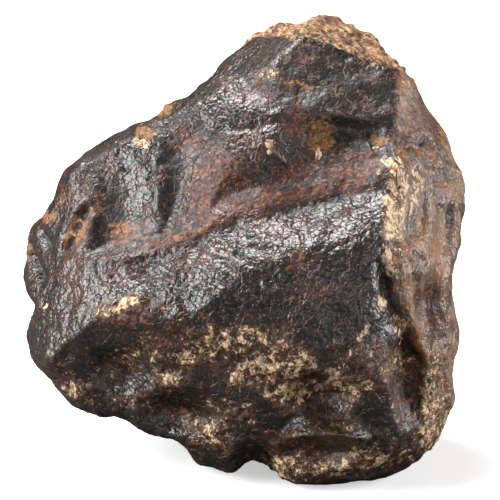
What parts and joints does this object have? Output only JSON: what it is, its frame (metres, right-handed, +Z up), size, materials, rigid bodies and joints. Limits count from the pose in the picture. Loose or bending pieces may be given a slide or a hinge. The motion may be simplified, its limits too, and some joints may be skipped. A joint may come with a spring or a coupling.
{
  "type": "meteorite",
  "caption": "Fist-sized stony meteorite with a dark wrinkled crust, thumbprint dents and a broken tan top, standing on its flattened underside.",
  "frame": {"origin": "middle of the bounding box's base, on the surface that the stone stands on", "axes": "+Z up as the stone stands; -Y faces the viewer of the picture, towards the thumbprints and the belly; +X to that viewer's right, towards the fluted side"},
  "size_m": [0.1144, 0.0846, 0.1121],
  "materials": {
    "crust": "dark wrinkled fusion crust, semi-gloss where fresh, rusty and tan where it is worn thin or broken off"
  },
  "bodies": {
    "root": {"stone": "crust"}
  },
  "joints": []
}
